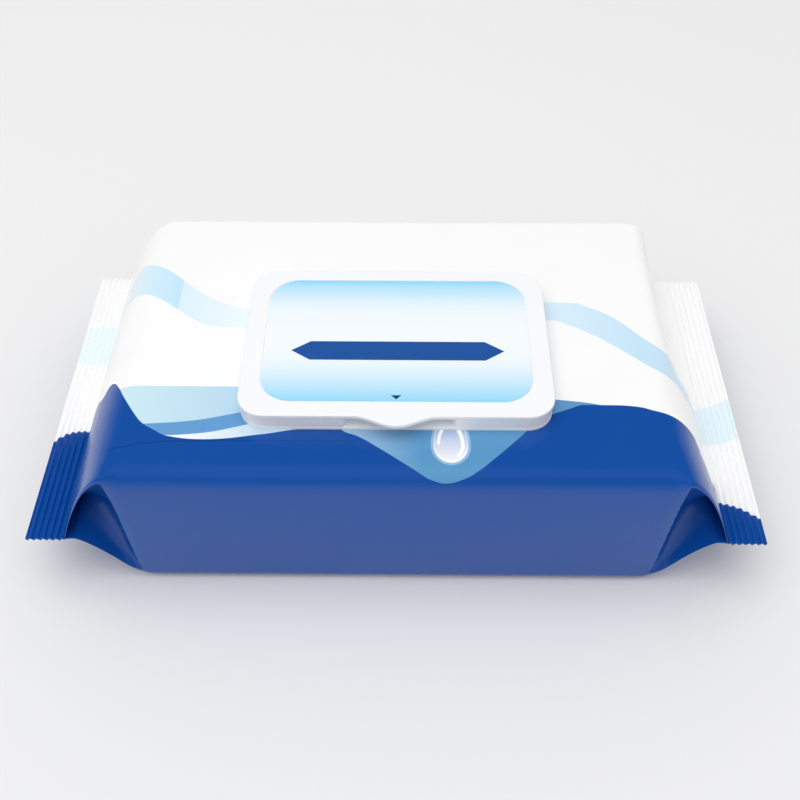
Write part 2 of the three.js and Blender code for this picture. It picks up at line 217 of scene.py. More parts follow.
class FilmColours(bpy.types.PropertyGroup):
    """Colours of the printed film."""

    white: colour((252, 252, 252), "White", "Unprinted film")
    white_dark: colour((249, 249, 250), "White, darker", "Its faint unevenness")
    deep: colour((6, 76, 162), "Deep blue", "Front of the film, and its rear edge")
    # Painted shade: the darker blue of the fold line near the front edge, not an ink of the print
    crease: colour((2, 44, 118), "Crease", "Fold line in the deep blue")
    valley_left: colour((160, 196, 222), "Valley, left", "Blue in front of the closure")
    valley_right: colour((90, 152, 200), "Valley, right", "Blue in front of the closure")
    field_left: colour((206, 235, 245), "Field, left", "Pale field left of the closure")
    field_right: colour((186, 219, 238), "Field, right", "Pale field left of the closure")
    band: colour((100, 158, 211), "Band", "Middle blue band under the pale field")
    sliver_left: colour((250, 252, 254), "Sliver, left", "White sliver under the band")
    sliver_right: colour((196, 224, 240), "Sliver, right", "White sliver under the band")
    right_sliver: colour((98, 152, 200), "Right sliver", "Middle blue right of the closure")
    left_seal: colour((240, 250, 251), "Ribbon on left seal", "On the left end seal")
    left_slope: colour((228, 245, 252), "Ribbon on left slope", "Down the left slope")
    left_edge: colour((198, 232, 252), "Ribbon at left edge", "Where the left slope begins")
    left_bend: colour((222, 242, 252), "Ribbon at left bend", "On top, right of the left slope")
    left_top: colour((240, 249, 254), "Ribbon on left top", "Left of the closure")
    right_top: colour((214, 237, 252), "Ribbon on right top", "Right of the closure")
    right_edge: colour((198, 229, 249), "Ribbon at right edge", "Where the right slope begins")
    right_slope: colour((211, 233, 249), "Ribbon on right slope", "Down the right slope")
    right_seal: colour((232, 246, 252), "Ribbon on right seal", "On the right end seal")
    drop_ring: colour((150, 188, 222), "Drop's ring", "Round the water drop")
    drop_low: colour((243, 243, 248), "Drop, low", "The water drop's lower part")
    drop_high: colour((172, 192, 227), "Drop, high", "The water drop's upper part")
    drop_light: colour((255, 255, 255), "Drop's light", "The water drop's rim and strokes")
    seam_dark: colour((8, 66, 150), "Seam, darker", "Back seam")
    seam_light: colour((11, 76, 162), "Seam, lighter", "Back seam")


class ClosureColours(bpy.types.PropertyGroup):
    """Colours of the closure and the labels."""

    plastic_dark: colour((244, 245, 248), "Plastic, darker", "Moulded closure")
    plastic_light: colour((248, 249, 251), "Plastic, lighter", "Moulded closure")
    peel_dark: colour((222, 227, 234), "Peel label, darker", "Peel label")
    peel_light: colour((234, 238, 243), "Peel label, lighter", "Peel label")
    label_white: colour((243, 249, 252), "Label white", "Middle of the lid's label")
    label_sky: colour((112, 211, 250), "Label sky blue", "Front and rear of the lid's label")
    label_bar: colour((26, 84, 160), "Label bar", "Bar across the lid's label")
    label_arrow: colour((3, 62, 118), "Label arrow", "Small arrow on the lid's label")


class StageSizes(bpy.types.PropertyGroup):
    """Camera and light."""

    pitch: number(math.radians(49.0), "Pitch", "Camera's tilt below level", subtype="ANGLE")
    turn: number(math.radians(0.468), "Turn", "Camera's turn to the left", subtype="ANGLE")
    focal_length: number(45.67, "Focal length", "On a 36 mm sensor, in mm")
    camera_place: place((0.00292, -0.2431, 0.30296), "Camera", "Camera's place")
    floor_shade: share(0.84, "Floor shade", "How pale the floor is")
    soft_light: share(0.6, "Soft light", "Even light from all round", 2.0)
    horizon_light: share(0.55, "Horizon light", "Room near the horizon, as the film mirrors it", 2.0)
    overhead_light: share(0.04, "Overhead light", "Room overhead, as the film mirrors it", 2.0)
    lamp_power: number(26.8, "Lamp power", "Key lamp, in watts")
    lamp_size: number(2.2, "Lamp size", "Side of the key lamp", unit="LENGTH")
    lamp_place: place((-0.3, -0.32, 2.0), "Lamp", "Key lamp's place")


# Small sums used all over


def mix(a, b, t):
    return a + (b - a) * t


def ease(value, start, end):
    """0 before start, 1 after end, and a smooth slope between them."""
    t = np.clip((value - start) / (end - start), 0.0, 1.0)
    return t * t * (3 - 2 * t)


# Meshes


def mesh_object(name, points, faces, material, smooth_angle=40.0):
    """A mesh with soft shading, and sharp edges where its faces meet at more than the angle."""
    mesh = bpy.data.meshes.new(name)
    mesh.from_pydata(np.asarray(points, float).tolist(), [], faces)
    mesh.validate()
    mesh.polygons.foreach_set("use_smooth", [True] * len(mesh.polygons))
    mesh.set_sharp_from_angle(angle=math.radians(smooth_angle))
    mesh.materials.append(material)
    piece = bpy.data.objects.new(name, mesh)
    bpy.context.scene.collection.objects.link(piece)
    return piece


def outline(half_x, half_y, radius, shift=0.0, front=None):
    """Rounded rectangle seen from above, counter-clockwise from its right side.

    shift moves it along Y, and front(x) is how far its front edge stands back at x.
    """
    points = []
    for corner, (right, rear) in enumerate(((1, 1), (-1, 1), (-1, -1), (1, -1))):
        turn = np.linspace(corner, corner + 1, CORNER_STEPS + 1) * math.pi / 2
        x = right * (half_x - radius) + radius * np.cos(turn)
        y = rear * (half_y - radius) + radius * np.sin(turn)
        points.append(np.stack([x, y], axis=-1))
        if corner == 2:
            reach = half_x - radius
            x = np.linspace(-reach, reach, FRONT_STEPS + 1)[1:-1]
            y = np.full_like(x, -half_y) + (front(x) if front else 0.0)
            points.append(np.stack([x, y], axis=-1))
    points = np.vstack(points)
    points[:, 1] += shift
    return points


def arc(start, end, rise_first, steps=6):
    """Quarter turn from one (inset, height) to another. It leaves along the height if rise_first."""
    turn = np.linspace(0, math.pi / 2, steps + 1)
    fast, slow = np.sin(turn), 1 - np.cos(turn)
    inset = mix(start[0], end[0], slow if rise_first else fast)
    height = mix(start[1], end[1], fast if rise_first else slow)
    return list(zip(inset, height))


def held(path):
    """The path with points added close to its corners, so that soft shading stays at the bends."""
    done = [path[0]]
    for a, b in zip(path, path[1:]):
        step = np.subtract(b, a)
        span = math.hypot(*step)
        if span > 4 * HOLD:
            done.append(tuple(a + step * HOLD / span))
            done.append(tuple(b - step * HOLD / span))
        done.append(b)
    return done


def rings_along(path, family):
    """One ring of points for each (inset, height) of the path, from a family of outlines."""
    rings = []
    for inset, height in held(path):
        flat = family(inset)
        rings.append(np.column_stack([flat, np.full(len(flat), height)]))
    return rings


def shell(rings, closed=False):
    """Points and faces of a skin over rings, which go from the underside outwards, up, and inwards.

    A closed shell runs from its last ring back to the first, any other gets a cap at each end.
    """
    count = len(rings[0])
    faces = []
    for ring in range(len(rings) if closed else len(rings) - 1):
        here = ring * count
        above = (ring + 1) % len(rings) * count
        for i in range(count):
            after = (i + 1) % count
            faces.append((here + i, here + after, above + after, above + i))
    if not closed:
        last = (len(rings) - 1) * count
        faces.append(tuple(reversed(range(count))))
        faces.append(tuple(range(last, last + count)))
    return np.vstack(rings), faces


def bar(profile, half_length, middle=0.0):
    """A profile in Y and Z, counter-clockwise seen from +X, carried along X."""
    count = len(profile)
    y, z = np.array(profile).T
    ends = [np.column_stack([np.full(count, middle + end), y, z]) for end in (-half_length, half_length)]
    faces = [(i, (i + 1) % count, count + (i + 1) % count, count + i) for i in range(count)]
    faces.append(tuple(reversed(range(count))))
    faces.append(tuple(range(count, 2 * count)))
    return np.vstack(ends), faces


def joined(*shells):
    """Points and faces of several shells as those of one mesh."""
    points, faces, start = [], [], 0
    for some_points, some_faces in shells:
        points.append(some_points)
        faces.extend(tuple(start + i for i in face) for face in some_faces)
        start += len(some_points)
    return np.vstack(points), faces


def seat(piece, body, slot, *replaced):
    """The piece rides on a body and stands for CAD nodes, which are hidden. The slot is not used."""
    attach(piece, body)
    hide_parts(*replaced)


# Film pouch

EDGE_SHARE = 0.6  # of the half depth: from here outwards the long edges have a shape of their own
WALL_FROM, WALL_TO = -16 * MM, 8 * MM  # between these, front to rear, the right shoulder steepens
FOLD_END = 95 * MM  # the film's columns lie close together from the shoulder to here
ROUND_SHARE = 0.42  # of the film's height: no long edge is rounded by more


def top_ply(size, x, y):
    """Height of the top ply: flat over the stack, a full shoulder, then down to the end seal."""
    edge_from = EDGE_SHARE * size.half_depth
    middle_run = size.shoulder_run + np.where(x < 0, size.left_reach, 0.0)
    run = mix(middle_run, size.edge_run, ease(np.abs(y), edge_from, size.half_depth))
    front = ease(-y, edge_from, size.half_depth)
    start = mix(size.flat_half_length, size.front_corner, front)
    out = np.clip((np.abs(x) - start) / (size.flat_half_length + run - start), 0.0, 1.0)
    seal_top = size.seal_level + size.seal_thickness / 2
    rear = ease(y, 0.0, size.half_depth)
    fullness = mix(size.shoulder_fullness, size.rear_fullness_left, np.where(x < 0, rear, 0.0))
    fullness = mix(fullness, size.front_fullness, front)
    wall = 1 - (1 - out**size.wall_start) ** size.wall_steepness
    walled = np.where(x > 0, ease(y, WALL_FROM, WALL_TO), 0.0)
    return mix(PACK_TOP, seal_top, mix(out**fullness, wall, walled))


def bottom_ply(size, x):
    """Height of the bottom ply: flat, then up to the end seal in a shallow S."""
    out = np.clip((np.abs(x) - size.flat_half_length) / size.base_run, 0.0, 1.0)
    seal_bottom = size.seal_level - size.seal_thickness / 2
    return mix(size.seam_thickness, seal_bottom, mix(out, ease(out, 0.0, 1.0), 0.5))


def fold_depth(size, x):
    """How far in the gusset's crease lies. It leans on the stack's end, then is drawn into the seal."""
    end = PACK_HALF_LENGTH - size.crimp_width
    along = np.clip((x - size.fold_start) / (end - size.fold_start), 0.0, 1.0)
    late, early, early_share = along**8, along**0.5, 0.62
    flattened = ease(x, end - 0.6 * MM, end)
    return size.gusset_depth * mix(late, early, early_share) * (1 - flattened)


def pocket_depth(size, x, z, roof, floor):
    """How far the side film is tucked in at a height, between the pocket's roof and floor."""
    rise = np.clip((x - size.fold_start) / (size.fold_peak - size.fold_start), 0.0, 1.0)
    arch = np.minimum(PACK_TOP * (1 - (1 - rise) ** 3), roof)
    gap = np.maximum(arch - floor, GAP)
    down = np.clip((arch - z) / gap, 0.0, 1.0)
    highest, lowest = 0.15, 0.6  # where the crease may lie, from the pocket's roof down to its floor
    crease = np.clip((arch - size.crease_level) / gap, highest, lowest)
    inwards = np.where(down < crease, down / crease, (1 - down) / (1 - crease))
    return fold_depth(size, x) * np.clip(inwards, 0.0, 1.0) ** 0.5 * (rise > 0)


def film_columns(size):
    """Places along the pack where the film has a section, close together at the shoulders and ridges."""
    crimp_start = PACK_HALF_LENGTH - size.crimp_width
    marks = (0.0, size.flat_half_length, FOLD_END, crimp_start, PACK_HALF_LENGTH)
    steps = (FLAT_STEPS, FOLD_STEPS, SLOPE_STEPS, RIDGE_STEPS * size.ridge_count)
    parts = [np.linspace(a, b, count + 1)[1:] for a, b, count in zip(marks, marks[1:], steps)]
    half = np.concatenate([[0.0], *parts])
    return np.concatenate([-half[:0:-1], half])


def film_half_section(size, columns, facing, top_radius):
    """Rows of film from the middle of the top, over one long edge, to the middle of the underside.

    facing is -1 for the front half and 1 for the rear half.

    Gives the distance from mid depth, the height and the girth so far, at each row and column.
    """
    x = np.abs(columns)[None, :]
    half = size.half_depth + size.seal_spread * ease(x, size.fold_peak, PACK_HALF_LENGTH - size.crimp_width)
    half = half + size.rear_lean * (facing > 0) * (1 - ease(x, size.flat_half_length, size.fold_peak))
    bottom = bottom_ply(size, x)
    signed = np.asarray(columns)[None, :]
    edge = top_ply(size, signed, facing * half)
    folded = ease(x, size.flat_half_length, size.sharp_from)
    most = ROUND_SHARE * (edge - bottom)
    upper = np.minimum(mix(top_radius, size.flap_radius, folded), most)
    lower = np.minimum(mix(size.base_radius, size.flap_radius, folded), most)
    roof = edge - upper
    floor = bottom + lower

    across = np.linspace(0, 1, ACROSS_STEPS + 1)[:-1, None] * (half - upper)
    turn = np.linspace(0, math.pi / 2, EDGE_STEPS + 1)[:, None]
    down = np.linspace(0, 1, FACE_STEPS + 1)[1:-1, None]
    bend = np.linspace(0, math.pi / 2, BASE_STEPS + 1)[:, None]
    under = np.linspace(1, 0, UNDER_STEPS + 1)[1:, None]
    face = mix(roof, floor, down)
    swell = size.face_bulge * 4 * down * (1 - down) * (1 - folded)
    deep = [
        across,
        half - upper + upper * np.sin(turn),
        half + swell - pocket_depth(size, x, face, roof, floor),
        half - lower + lower * np.cos(bend),
        under * (half - lower),
    ]
    high = [
        top_ply(size, signed, facing * across),
        roof + upper * np.cos(turn),
        face,
        floor - lower * np.sin(bend),
        np.broadcast_to(bottom, (len(under), len(columns))),
    ]
    face_start = half - upper + upper * math.pi / 2
    base_start = face_start + PACK_TOP - top_radius - size.base_radius
    base_end = base_start + lower * math.pi / 2
    girth = [
        across,
        half - upper + upper * turn,
        mix(face_start, base_start, down),
        base_start + lower * bend,
        base_end + (1 - under) * (half - lower),
    ]
    return np.vstack(deep), np.vstack(high), np.vstack(girth)


def film_lengths(size, columns):
    """Distance along the film from the pack's middle, signed as the columns are."""
    heights = top_ply(size, columns, -size.half_depth / 2)
    steps = np.hypot(np.diff(columns), np.diff(heights))
    along = np.concatenate([[0.0], np.cumsum(steps)])
    return along - along[len(columns) // 2]


def film_grid(size):
    """The film tube as a grid of points, rows round the girth and columns along the pack.

    The first row is the middle of the top, then come the front, the underside and the rear.
    """
    columns = film_columns(size)
    deep, high, girth = film_half_section(size, columns, -1, size.top_radius)
    rear_deep, rear_high, rear_girth = film_half_section(size, columns, 1, size.rear_radius)
    across = np.vstack([-deep, rear_deep[-2:0:-1]])
    upwards = np.vstack([high, rear_high[-2:0:-1]])
    along = np.broadcast_to(columns, across.shape)
    points = np.stack([along, across, upwards], axis=-1)
    around = np.vstack([-girth, rear_girth[-2:0:-1]])
    return points, film_lengths(size, columns), around


def film_faces(rows, count):
    """Quads of the tube, and one face that closes each end."""
    faces = []
    for row in range(rows):
        after = (row + 1) % rows
        for column in range(count - 1):
            a = row * count + column
            b = after * count + column
            faces.append((a, b, b + 1, a + 1))
    faces.append(tuple(row * count for row in reversed(range(rows))))
    faces.append(tuple(row * count + count - 1 for row in range(rows)))
    return faces


def lay_film_map(mesh, along, around, rows):
    """UV map in millimetres: U along the film from the pack's middle, V round its girth from the top.

    V is negative on the front half of the film and positive on the rear half.
    """
    layer = mesh.uv_layers.new(name="film")
    count = len(along)
    half = rows // 2
    corners = np.zeros(len(mesh.loops), int)
    mesh.loops.foreach_get("vertex_index", corners)
    row, column = corners // count, corners % count
    starts = np.zeros(len(mesh.polygons), int)
    totals = np.zeros(len(mesh.polygons), int)
    mesh.polygons.foreach_get("loop_start", starts)
    mesh.polygons.foreach_get("loop_total", totals)
    rear_face = np.maximum.reduceat(row, starts) > half
    rear = np.repeat(rear_face, totals) & ((row >= half) | (row == 0))
    distance = around[row, column]
    v = np.where(rear, np.abs(distance), distance)
    layer.data.foreach_set("uv", np.stack([along[column] / MM, v / MM], axis=-1).ravel())


def seam_strip(size):
    """The folded back seam: a thin strip along the underside, from one end seal to the other."""
    columns = film_columns(size)
    columns = columns[np.abs(columns) < PACK_HALF_LENGTH - size.crimp_width]
    half = size.seam_width / 2
    sunk, slant = 0.1 * MM, 0.15 * MM
    thickness = size.seam_thickness - 0.02 * MM
    across = np.array([-half, half, half, half - slant, -half + slant, -half])
    below = np.array([-sunk, -sunk, thickness / 2, thickness, thickness, thickness / 2])
    rings = []
    for x, z in zip(columns, bottom_ply(size, columns)):
        level = np.full(len(across), x)
        rings.append(np.column_stack([level, size.seam_shift + across[::-1], z - below[::-1]]))
    return shell(rings)


# The print's edges at their crests, troughs and bends, in millimetres on the film map: along the pack,
# and round the girth from the top's middle. They are kept to the nearest half millimetre.

DEEP_EDGE = (
    (-138, -22.5), (-127, -17.5), (-108, -18.5), (-102, -20.5), (-97, -18), (-94.5, -19), (-92.5, -21),
    (-88, -28), (-83, -35.5), (-80.5, -38.5), (-76, -41.5), (-70.5, -44), (-61, -45), (-42.5, -43),
    (-32, -41), (5, -36), (40, -37), (51, -33.5), (56, -31.5), (61.5, -30), (70, -30), (77, -30.5),
    (82, -32), (92.5, -35.5), (98, -37), (101, -40), (106, -44.5), (125.5, -46.5), (138, -52.5),
)
REAR_EDGE = (
    (-138, 108), (-104, 104), (-84, 84), (-50, 96), (5, 80), (55, 98), (84, 86), (104, 104), (138, 108),
)
PALE_TOP = ((-98, -22.5), (-90, -23), (-59, -23), (-40, -23.5))
BAND_TOP = ((-80, -39), (-68.5, -38), (-62, -37), (-55.5, -35.5), (-44, -32.5))
BAND_BOTTOM = ((-80, -39.5), (-72, -43.5), (-65, -43), (-58, -42), (-52, -40.5), (-44, -38))
VALLEY = (
    (-18, -38), (-16.5, -41.5), (-12, -43.5), (-5.5, -48), (7.5, -57.5), (11, -59.5), (15.5, -60.5),
    (20, -59.5), (25.5, -56.5), (30, -52.5), (35.5, -47), (44, -38),
)
SLIVER_TOP = ((48, -27.5), (57, -28.5), (63.5, -29.5), (68, -31))
RIBBON_TOP = (
    (-138, 34.5), (-112, 34.5), (-104, 38.5), (-97, 41), (-92.5, 39), (-88.5, 36.5), (-83, 33),
    (-67.5, 20), (-59.5, 15.5), (-52.5, 13.5), (-20, 12), (20, 16), (52.5, 17.5), (59.5, 17.5),
    (67, 15), (73, 11.5), (81, 3.5), (84, 0), (90, -4.5), (94, -6), (102, -9), (112, -9),
    (125.5, -6), (138, -0.5),
)
RIBBON_BOTTOM = (
    (-138, 15.5), (-126, 14.5), (-110.5, 22), (-102, 24.5), (-94, 23), (-85.5, 19), (-77, 13),
    (-70.5, 8), (-63, 4.5), (-53, 4), (-20, 3), (20, 7), (52.5, 8.5), (58.5, 6.5), (65.5, 2.5),
    (79, -8.5), (85.5, -14), (95.5, -18.5), (101.5, -21), (125.5, -22), (138, -18.5),
)

# Painted shade: a dark line where the film folds over the stack's front edge, drawn in darker blue on the
# deep blue
CREASE_SHADE = (
    (-96, -52.5), (-92.5, -50), (-85.5, -48.5), (-79.5, -47), (-70, -46), (-51.5, -45.5), (-8, -45.5),
)

# How much sky blue the lid's label has, at millimetres from the closure's middle
LABEL_FADE = (
    (-27.1, 0.82), (-20, 0.46), (-15, 0.24), (-9.5, 0.07), (-2, 0.0),
    (12, 0.05), (17, 0.17), (21, 0.375), (25, 0.57), (28.4, 0.87),
)


# Materials


class Nodes:
    """Adds nodes to a tree, each from its inputs, and gives back the output to go on with."""

    def __init__(self, tree):
        self.tree = tree

    def new(self, kind, inputs=(), **settings):
        node = self.tree.nodes.new(kind)
        for name, value in settings.items():
            setattr(node, name, value)
        for socket, value in dict(inputs).items():
            self.set(node.inputs[socket], value)
        return node

    def add(self, kind, inputs=(), output=0, **settings):
        return self.new(kind, inputs, **settings).outputs[output]

    def set(self, socket, value):
        if isinstance(value, bpy.types.NodeSocket):
            self.tree.links.new(value, socket)
        else:
            socket.default_value = value

    def split(self, vector):
        return self.new("ShaderNodeSeparateXYZ", {0: vector}).outputs

    def noise(self, scale, detail=2.0):
        """Noise in the object's own coordinates."""
        spot = self.add("ShaderNodeTexCoord", output="Object")
        return self.add("ShaderNodeTexNoise", {"Vector": spot, "Scale": scale, "Detail": detail})

    def math(self, operation, a, b=0.0):
        return self.add("ShaderNodeMath", {0: a, 1: b}, operation=operation)

    def plus(self, a, b):
        return self.math("ADD", a, b)

    def minus(self, a, b):
        return self.math("SUBTRACT", a, b)

    def times(self, a, b):
        return self.math("MULTIPLY", a, b)

    def over(self, a, b):
        return self.math("DIVIDE", a, b)

    def most(self, a, b):
        return self.math("MAXIMUM", a, b)

    def apart(self, a, b):
        """How far two values lie apart."""
        return self.math("ABSOLUTE", self.minus(a, b))

    def map(self, value, low, high, to_low=0.0, to_high=1.0, smooth=False):
        kind = "SMOOTHSTEP" if smooth else "LINEAR"
        inputs = {"Value": value, "From Min": low, "From Max": high, "To Min": to_low, "To Max": to_high}
        return self.add("ShaderNodeMapRange", inputs, interpolation_type=kind)

    def curve(self, value, points):
        """A smooth curve through points, read at the value. It keeps its end heights outside them."""
        first, last = points[0][0], points[-1][0]
        lowest = min(height for _, height in points)
        highest = max(height for _, height in points)
        node = self.new("ShaderNodeFloatCurve", {"Value": self.map(value, first, last)})
        track = node.mapping.curves[0].points
        steps = [((x - first) / (last - first), (y - lowest) / (highest - lowest)) for x, y in points]
        track[0].location, track[len(track) - 1].location = steps[0], steps[-1]
        for step in steps[1:-1]:
            track.new(*step)
        for point in track:
            point.handle_type = "AUTO_CLAMPED"
        node.mapping.update()
        return self.map(node.outputs[0], 0.0, 1.0, lowest, highest)

    def past(self, value, limit, softness=0.14):
        """1 where the value is above the limit, 0 below it, with a soft edge."""
        return self.map(self.minus(value, limit), -softness, softness, smooth=True)

    def short(self, value, limit, softness=0.14):
        """1 where the value is below the limit, 0 above it."""
        return self.without(self.past(value, limit, softness))

    def between(self, value, low, high, softness=0.14):
        return self.both(self.past(value, low, softness), self.short(value, high, softness))

    def above(self, u, v, line):
        """1 above a line drawn through points on the map."""
        return self.past(v, self.curve(u, line))

    def below(self, u, v, line):
        return self.without(self.above(u, v, line))

    def inside(self, distance, softness=0.03):
        """1 inside an outline at distance 1."""
        return self.map(distance, 1 - softness, 1 + softness, 1.0, 0.0, smooth=True)

    def both(self, *masks):
        product = masks[0]
        for mask in masks[1:]:
            product = self.times(product, mask)
        return product

    def without(self, mask):
        return self.minus(1.0, mask)

    def blend(self, factor, a, b):
        """Colour a where the factor is 0, and b where it is 1."""
        node = self.new("ShaderNodeMix", {0: factor}, data_type="RGBA")
        for index, tint in ((6, a), (7, b)):
            self.set(node.inputs[index], tint if isinstance(tint, bpy.types.NodeSocket) else (*tint, 1.0))
        return node.outputs[2]


def new_material(name, **values):
    """A material with its shader's uniform values set on its own sockets."""
    material = bpy.data.materials.new(name)
    material.use_nodes = True
    shader = material.node_tree.nodes["Principled BSDF"]
    for socket, value in values.items():
        shader.inputs[socket.replace("_", " ")].default_value = value
    return material, Nodes(material.node_tree), shader


def add_bump(nodes, shader, scale, strength, distance):
    """Fine unevenness from noise."""
    inputs = {"Height": nodes.noise(scale, 3.0), "Strength": strength, "Distance": distance}
    nodes.set(shader.inputs["Normal"], nodes.add("ShaderNodeBump", inputs))


def vary_roughness(nodes, shader, scale, low, high):
    nodes.set(shader.inputs["Roughness"], nodes.map(nodes.noise(scale, 1.0), 0.0, 1.0, low, high))


def mottle(nodes, shader, scale, dark, light):
    """A base colour that drifts between two shades."""
    nodes.set(shader.inputs["Base Color"], nodes.blend(nodes.noise(scale), dark, light))


def ellipse(nodes, u, v, middle, half_width, below, above):
    """Distance from the middle, 1 on an egg that reaches its own way below and above the middle."""
    side = nodes.over(nodes.minus(u, middle[0]), half_width)
    rise = nodes.minus(v, middle[1])
    up = nodes.over(nodes.most(rise, 0.0), above)
    down = nodes.over(nodes.math("MINIMUM", rise, 0.0), below)
    total = nodes.plus(nodes.times(side, side), nodes.times(up, up))
    return nodes.math("SQRT", nodes.plus(total, nodes.times(down, down)))


def paint_drop(nodes, inks, u, v, ground):
    """The water drop, with its ring, a shaded body, a bright rim and a stroke of light on each side."""
    middle, rim_middle = (17.1, -47.1), (17.1, -46.5)
    ring = ellipse(nodes, u, v, middle, 6.25, 7.6, 13.0)
    body = ellipse(nodes, u, v, middle, 5.35, 6.7, 12.0)
    rim = ellipse(nodes, u, v, rim_middle, 5.2, 6.3, 11.0)
    shade = nodes.map(v, -53.0, -41.0)
    fill = nodes.blend(shade, inks.drop_low, inks.drop_high)
    glint = nodes.without(nodes.inside(rim, 0.04))
    crisp, stroke_end = 0.03, 0.3
    broad = nodes.between(body, 0.6, 0.8, crisp)
    right = nodes.both(broad, nodes.past(u, 19.0, stroke_end), nodes.past(v, -51.6, stroke_end))
    slim = nodes.between(body, 0.64, 0.8, crisp)
    left = nodes.both(slim, nodes.short(u, 15.0, stroke_end), nodes.past(v, -46.6, stroke_end))
    fill = nodes.blend(nodes.most(glint, nodes.most(left, right)), fill, inks.drop_light)
    ground = nodes.blend(nodes.inside(ring), ground, inks.drop_ring)
    return nodes.blend(nodes.inside(body), ground, fill)


def paint_left(nodes, inks, u, v, ground):
    """The pale field, the middle blue band and the white sliver to the left of the closure."""
    left = nodes.both(nodes.short(u, -20.0), nodes.past(u, -99.0, 3.0))
    pale = nodes.blend(nodes.map(u, -92, -50), inks.field_left, inks.field_right)
    ground = nodes.blend(nodes.both(nodes.below(u, v, PALE_TOP), left), ground, pale)
    side = nodes.both(left, nodes.past(u, -80.0))
    ground = nodes.blend(nodes.both(nodes.below(u, v, BAND_TOP), side), ground, inks.band)
    sliver = nodes.blend(nodes.map(u, -68, -42), inks.sliver_left, inks.sliver_right)
    return nodes.blend(nodes.both(nodes.below(u, v, BAND_BOTTOM), side), ground, sliver)


def paint_ribbon(nodes, inks, u, v, ground):
    """The pale blue ribbon that waves across the pack, almost white on the end seals."""
    before = nodes.blend(nodes.map(u, -104, -78), inks.left_slope, inks.left_edge)
    behind = nodes.blend(nodes.map(u, -76, -50), inks.left_bend, inks.left_top)
    left = nodes.blend(nodes.past(u, -76.7), before, behind)
    right = nodes.blend(nodes.map(u, 60, 84), inks.right_top, inks.right_edge)
    right = nodes.blend(nodes.map(u, 84, 100), right, inks.right_slope)
    on_right = nodes.past(u, 0.0)
    ribbon = nodes.blend(on_right, left, right)
    ends = nodes.blend(on_right, inks.left_seal, inks.right_seal)
    ribbon = nodes.blend(nodes.map(nodes.math("ABSOLUTE", u), 108.0, 112.0), ribbon, ends)
    within = nodes.both(nodes.below(u, v, RIBBON_TOP), nodes.above(u, v, RIBBON_BOTTOM))
    return nodes.blend(within, ground, ribbon)


def paint_front(nodes, inks, u, v, ground):
    """The deep blue that covers the front, the valley of middle blue in it, the drop, and a painted shade
    line along the fold near the front edge.
    """
    valley_blue = nodes.blend(nodes.map(u, -16, 8), inks.valley_left, inks.valley_right)
    valley = nodes.both(nodes.above(u, v, VALLEY), nodes.between(u, -19.0, 45.0))
    front = paint_drop(nodes, inks, u, v, nodes.blend(valley, inks.deep, valley_blue))
    # Painted shade: a darker blue line along the fold near the stack's front edge
    line = nodes.map(nodes.apart(v, nodes.curve(u, CREASE_SHADE)), 0.1, 0.4, 0.45, 0.0, smooth=True)
    crease = nodes.both(line, nodes.past(u, -97.0, 2.0), nodes.short(u, -14.0, 6.0))
    front = nodes.blend(crease, front, inks.crease)
    sliver = nodes.both(nodes.below(u, v, SLIVER_TOP), nodes.between(u, 46.0, 66.0))
    ground = nodes.blend(sliver, ground, inks.right_sliver)
    ground = nodes.blend(nodes.below(u, v, DEEP_EDGE), ground, front)
    return nodes.blend(nodes.above(u, v, REAR_EDGE), ground, inks.deep)


def film_material(inks):
    """Glossy printed film. The print is drawn on the film map by curves and simple shapes."""
    material, nodes, shader = new_material("printed_film", Specular_IOR_Level=0.5, IOR=1.5)
    spot = nodes.add("ShaderNodeUVMap", uv_map="film")
    u, v, _ = nodes.split(spot)
    tint = nodes.add("ShaderNodeTexNoise", {"Vector": spot, "Scale": 0.05})
    ground = nodes.blend(tint, inks.white_dark, inks.white)
    for layer in (paint_ribbon, paint_left, paint_front):
        ground = layer(nodes, inks, u, v, ground)
    nodes.set(shader.inputs["Base Color"], ground)
    vary_roughness(nodes, shader, 25.0, 0.22, 0.28)
    return material


def plain_film_material(inks):
    """The deep blue film without any pattern, for the back seam."""
    material, nodes, shader = new_material("film_underside", Specular_IOR_Level=0.5)
    mottle(nodes, shader, 90.0, inks.seam_dark, inks.seam_light)
    vary_roughness(nodes, shader, 60.0, 0.24, 0.32)
    return material


def plastic_material(colours):
    """Satin white moulded plastic with a very fine grain."""
    material, nodes, shader = new_material("closure_plastic")
    mottle(nodes, shader, 45.0, colours.plastic_dark, colours.plastic_light)
    vary_roughness(nodes, shader, 120.0, 0.32, 0.42)
    add_bump(nodes, shader, 1400.0, 0.12, 0.03 * MM)
    return material


def peel_material(colours):
    """Satin white peel-off film."""
    material, nodes, shader = new_material("peel_label")
    mottle(nodes, shader, 70.0, colours.peel_dark, colours.peel_light)
    vary_roughness(nodes, shader, 90.0, 0.38, 0.5)
    add_bump(nodes, shader, 500.0, 0.2, 0.04 * MM)
    return material


